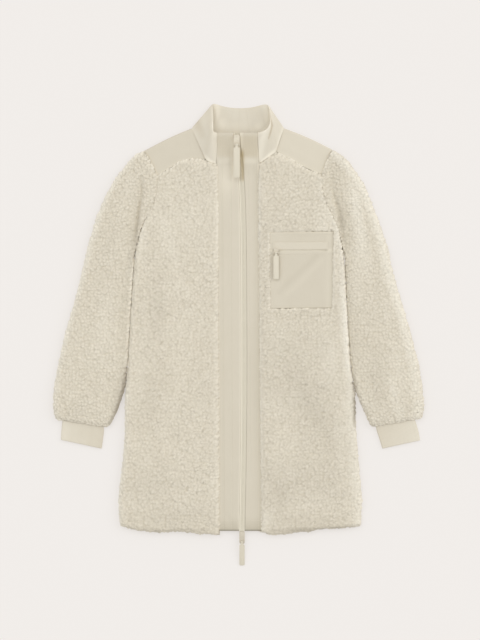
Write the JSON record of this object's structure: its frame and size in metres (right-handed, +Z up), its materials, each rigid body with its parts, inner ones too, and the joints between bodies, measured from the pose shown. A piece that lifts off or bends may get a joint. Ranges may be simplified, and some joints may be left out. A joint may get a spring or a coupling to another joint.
{
  "type": "sherpa jacket",
  "caption": "Thigh-length sherpa jacket laid flat and zipped up, with a rib stand collar, rib cuffs, smooth shoulder yokes, a zip placket and a zipped chest pocket.",
  "frame": {"origin": "on the surface that the jacket lies on, under the middle of its outline, with the lower pull tab counted", "axes": "+X towards the wearer's left, +Y from the hem to the collar, +Z up from the surface through the back to the front"},
  "size_m": [0.7843, 0.9782, 0.0344],
  "materials": {
    "sherpa": "curly cream pile, matte",
    "woven": "smooth plain weave, matte",
    "rib": "fine rib knit, matte",
    "zip_tape": "woven zip tape with a moulded chain",
    "slider_metal": "cream paint, satin",
    "pull_tab": "folded tape, stiff, matte"
  },
  "bodies": {
    "jacket": {"back": "sherpa", "front_right": "sherpa", "front_left": "sherpa", "sleeve_right": "sherpa", "sleeve_left": "sherpa", "yoke_right": "woven", "yoke_left": "woven", "placket_right": "woven", "placket_left": "woven", "pocket": "woven", "collar": "rib", "cuff_right": "rib", "cuff_left": "rib", "zip": "zip_tape", "pocket_zip": "zip_tape", "slider_top": "slider_metal", "slider_bottom": "slider_metal", "pocket_slider": "slider_metal"},
    "top_pull": {"pull_top": "pull_tab"},
    "bottom_pull": {"pull_bottom": "pull_tab"},
    "chest_pull": {"pocket_pull": "pull_tab"}
  },
  "joints": [
    {"name": "top_pull_hinge", "type": "hinge", "parent": "jacket", "child": "top_pull", "pos_m": [-0.0029, 0.40312, 0.02973], "axis": [-1, 0, 0], "range_deg": [0, 170]},
    {"name": "bottom_pull_hinge", "type": "hinge", "parent": "jacket", "child": "bottom_pull", "pos_m": [0.0085, -0.43683, 0.01128], "axis": [-1, 0, 0], "range_deg": [0, 165]},
    {"name": "pocket_pull_hinge", "type": "hinge", "parent": "jacket", "child": "chest_pull", "pos_m": [0.0805, 0.175, 0.0206], "axis": [-1, 0, 0], "range_deg": [0, 165]}
  ]
}
